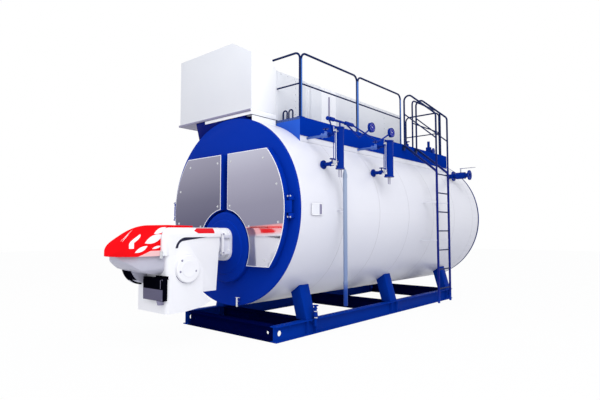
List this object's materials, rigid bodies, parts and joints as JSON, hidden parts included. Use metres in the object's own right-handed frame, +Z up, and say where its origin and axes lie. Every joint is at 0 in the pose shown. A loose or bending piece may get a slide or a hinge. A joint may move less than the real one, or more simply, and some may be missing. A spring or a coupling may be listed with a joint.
{
  "type": "industrial boiler",
  "caption": "Horizontal fire-tube boiler on a steel skid, with a front burner, tube doors, a top economiser, a side walkway with rails, a ladder and level columns.",
  "frame": {"origin": "on the floor, at the middle of the bottom face of the middle cross beam, under the boiler axis", "axes": "+Y from the burner to the rear, +X to the walkway and ladder side, +Z up"},
  "size_m": [2.8646, 7.66, 4.06],
  "materials": {
    "cladding_white": "satin",
    "blue_paint": "gloss",
    "light_blue_paint": "gloss",
    "deck_steel": "satin",
    "stainless_sheet": "polished",
    "burner_white": "gloss",
    "burner_red": "gloss",
    "intake_grey": "satin",
    "control_black": "satin",
    "rail_paint": "gloss",
    "fitting_blue": "gloss",
    "bright_fittings": "satin",
    "gauge_glass": "clear",
    "plate_blank": "satin"
  },
  "bodies": {
    "boiler_fixed": {"shell_cladding": "cladding_white", "smoke_hood": "cladding_white", "smoke_hood_pan": "cladding_white", "economiser_front": "cladding_white", "economiser_rear": "cladding_white", "economiser_joint": "cladding_white", "economiser_saddles": "cladding_white", "front_plate": "blue_paint", "rear_plate": "blue_paint", "burner_hub": "blue_paint", "right_hinge": "blue_paint", "left_hinge": "blue_paint", "flue_duct": "blue_paint", "platform_fascia": "blue_paint", "skid_beam_left": "blue_paint", "skid_beam_right": "blue_paint", "skid_cross_beams": "blue_paint", "saddle_legs": "blue_paint", "skid_drain_valve": "blue_paint", "platform_brackets": "light_blue_paint", "drain_pipe": "light_blue_paint", "platform_deck": "deck_steel", "burner_flange": "burner_white", "burner_housing": "burner_white", "burner_motor_cover": "burner_white", "burner_hood": "burner_red", "burner_tray": "intake_grey", "burner_control_box": "control_black", "side_handrail": "rail_paint", "front_handrail": "rail_paint", "rear_handrail": "rail_paint", "ladder_side_left": "rail_paint", "ladder_side_right": "rail_paint", "ladder_rungs": "rail_paint", "ladder_ties": "rail_paint", "lifting_eyes": "rail_paint", "level_column_front": "fitting_blue", "level_column_rear": "fitting_blue", "pressure_header": "fitting_blue", "rear_nozzle": "fitting_blue", "safety_valve": "fitting_blue", "vent_valve": "fitting_blue", "steam_stub": "fitting_blue", "pressure_gauge_front": "fitting_blue", "pressure_gauge_rear": "fitting_blue", "front_drain_tap": "bright_fittings", "column_drains": "bright_fittings", "rear_valve_lever": "bright_fittings", "gauge_glass_front": "gauge_glass", "gauge_glass_rear": "gauge_glass", "name_plate": "plate_blank"},
    "right_door_leaf": {"right_door": "blue_paint", "right_door_cover": "stainless_sheet"},
    "left_door_leaf": {"left_door": "blue_paint", "left_door_cover": "stainless_sheet"}
  },
  "joints": [
    {"name": "right_door_swing", "type": "hinge", "parent": "boiler_fixed", "child": "right_door_leaf", "pos_m": [1.2, -2.902, 1.69], "axis": [0, 0, 1], "range_deg": [0, 110]},
    {"name": "left_door_swing", "type": "hinge", "parent": "boiler_fixed", "child": "left_door_leaf", "pos_m": [-1.2, -2.902, 1.69], "axis": [0, 0, -1], "range_deg": [0, 110]}
  ]
}
